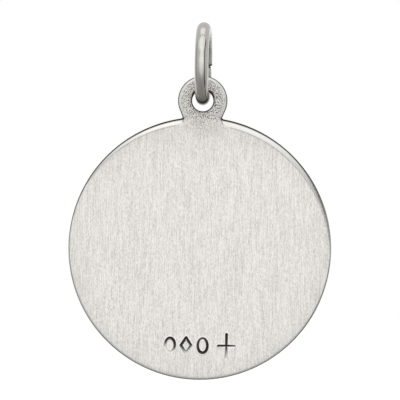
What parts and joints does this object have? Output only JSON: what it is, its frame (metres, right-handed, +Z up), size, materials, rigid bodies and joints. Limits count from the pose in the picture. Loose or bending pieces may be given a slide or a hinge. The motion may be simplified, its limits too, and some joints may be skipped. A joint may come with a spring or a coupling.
{
  "type": "religious medal pendant",
  "caption": "Round silver devotional medal with a raised rim, a cross in relief on the front, a plain brushed back, and an ear hanging from a jump ring.",
  "frame": {"origin": "the inside of the jump ring at its top, where the chain carries the pendant", "axes": "+Z up as the pendant hangs; the plain back of the medal faces -Y and the struck front faces +Y; +X to the right when looking at the back"},
  "size_m": [0.02, 0.0064, 0.0272],
  "materials": {
    "brushed_silver": "solid silver, fine upright brushing on the back, darkened recesses on the front",
    "polished_silver": "solid silver wire, tumble polished"
  },
  "bodies": {
    "ring": {"jump_ring": "polished_silver"},
    "drop": {"medal": "brushed_silver"}
  },
  "joints": [
    {"name": "medal_swing", "type": "hinge", "parent": "ring", "child": "drop", "pos_m": [0, 0, -0.00477], "axis": [0, 1, 0], "range_deg": [-110, 110]}
  ]
}
